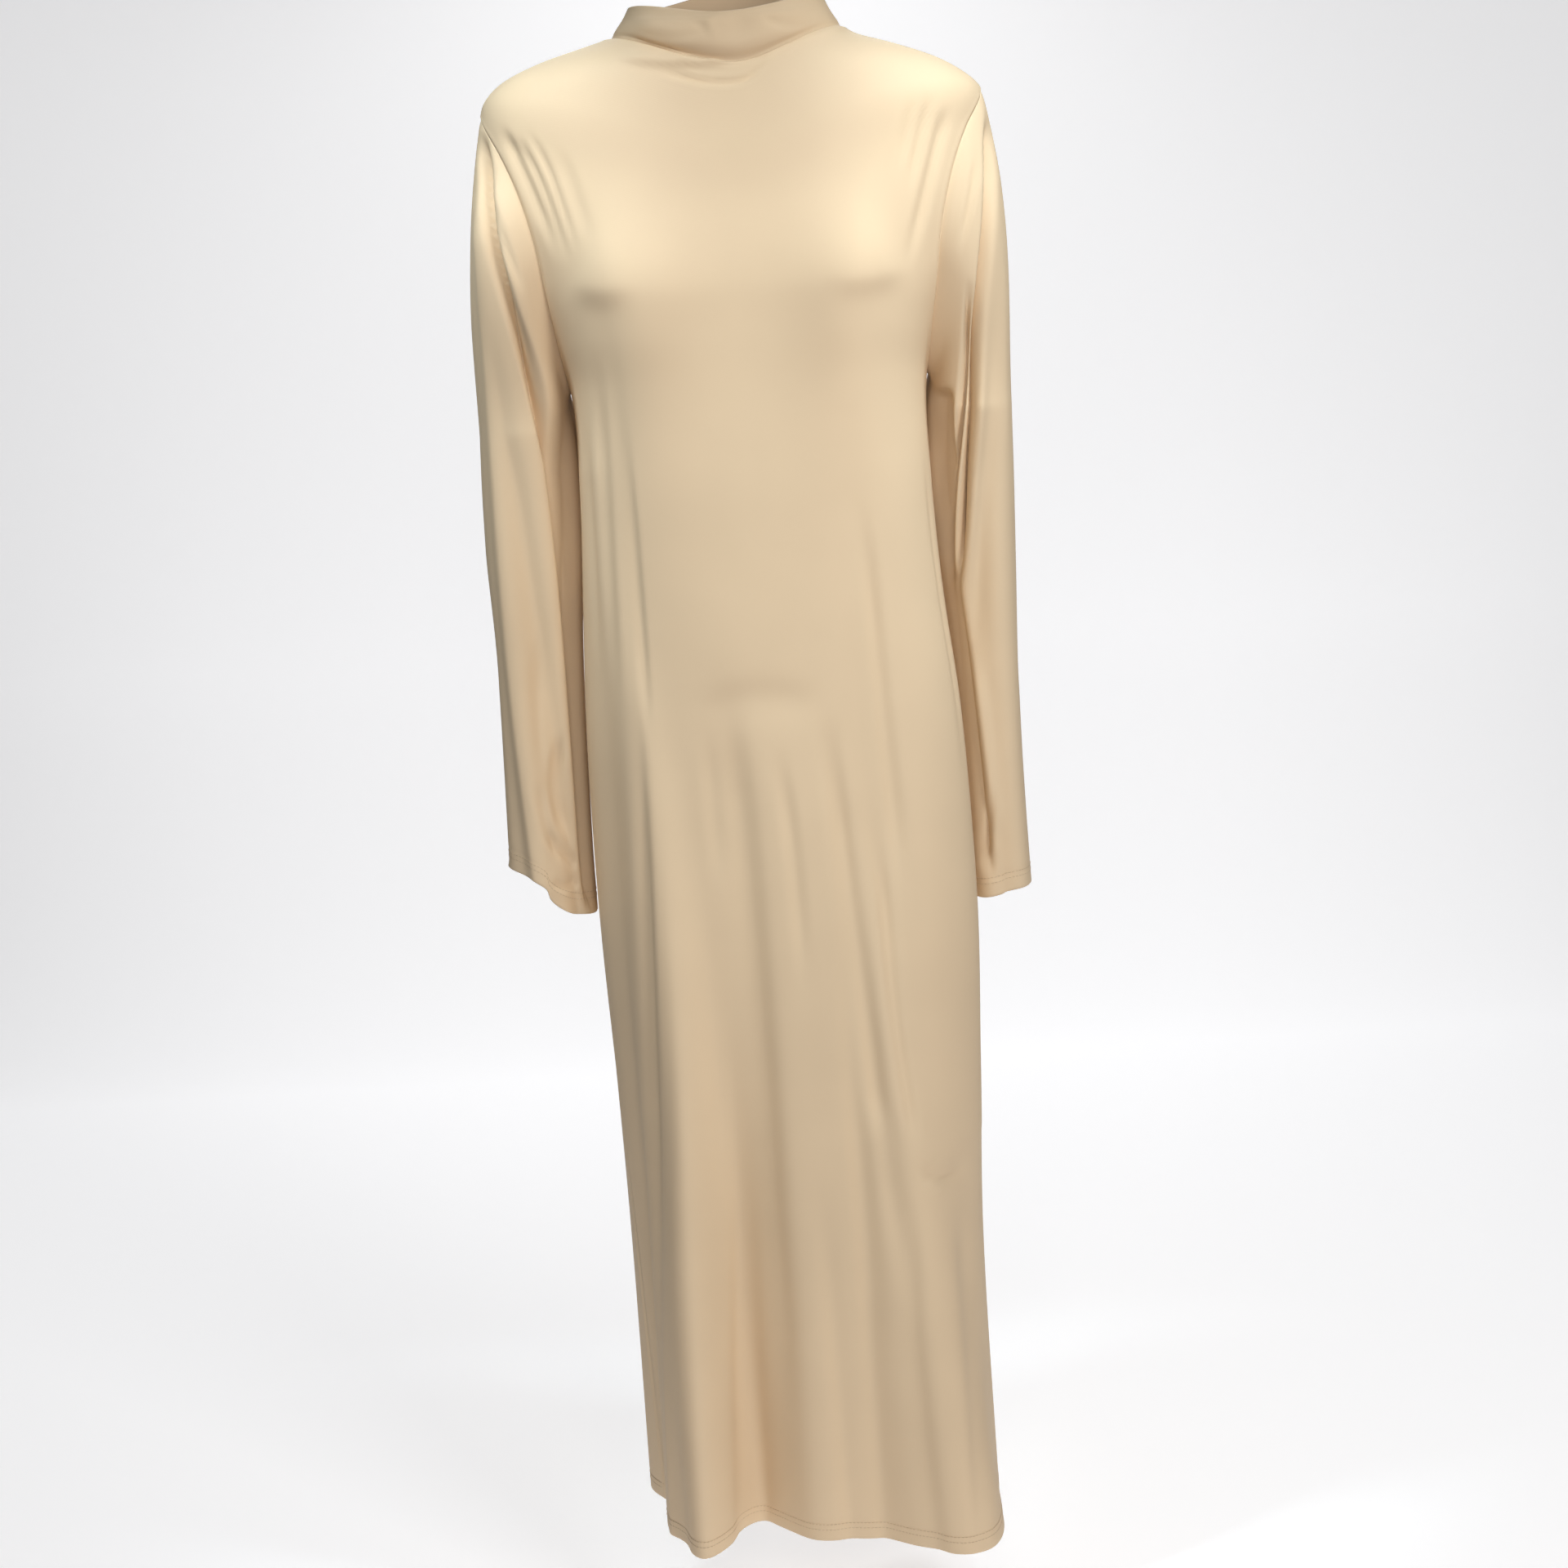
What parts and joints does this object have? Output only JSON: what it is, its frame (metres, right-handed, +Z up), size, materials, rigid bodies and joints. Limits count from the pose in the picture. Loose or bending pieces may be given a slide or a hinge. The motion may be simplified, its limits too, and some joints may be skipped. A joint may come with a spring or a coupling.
{
  "type": "maxi dress",
  "caption": "Ankle-length straight maxi dress with a funnel neck band and long set-in sleeves, hollow as worn, open at neck, cuffs and hem.",
  "frame": {"origin": "midway between the two high shoulder points, where the neck seam meets the shoulder seams and the wearer carries the dress", "axes": "+Z up, +X to the wearer's left, the front of the dress faces -Y"},
  "size_m": [0.4895, 0.3026, 1.4041],
  "materials": {
    "front_jersey": "smooth satiny stretch jersey, sand beige",
    "back_jersey": "smooth satiny stretch jersey, sand beige",
    "sleeve_jersey": "smooth satiny stretch jersey, sand beige",
    "collar_jersey": "the same jersey, folded double"
  },
  "bodies": {
    "root": {"front_panel": "front_jersey", "back_panel": "back_jersey", "sleeve_right": "sleeve_jersey", "sleeve_left": "sleeve_jersey", "collar": "collar_jersey"}
  },
  "joints": []
}
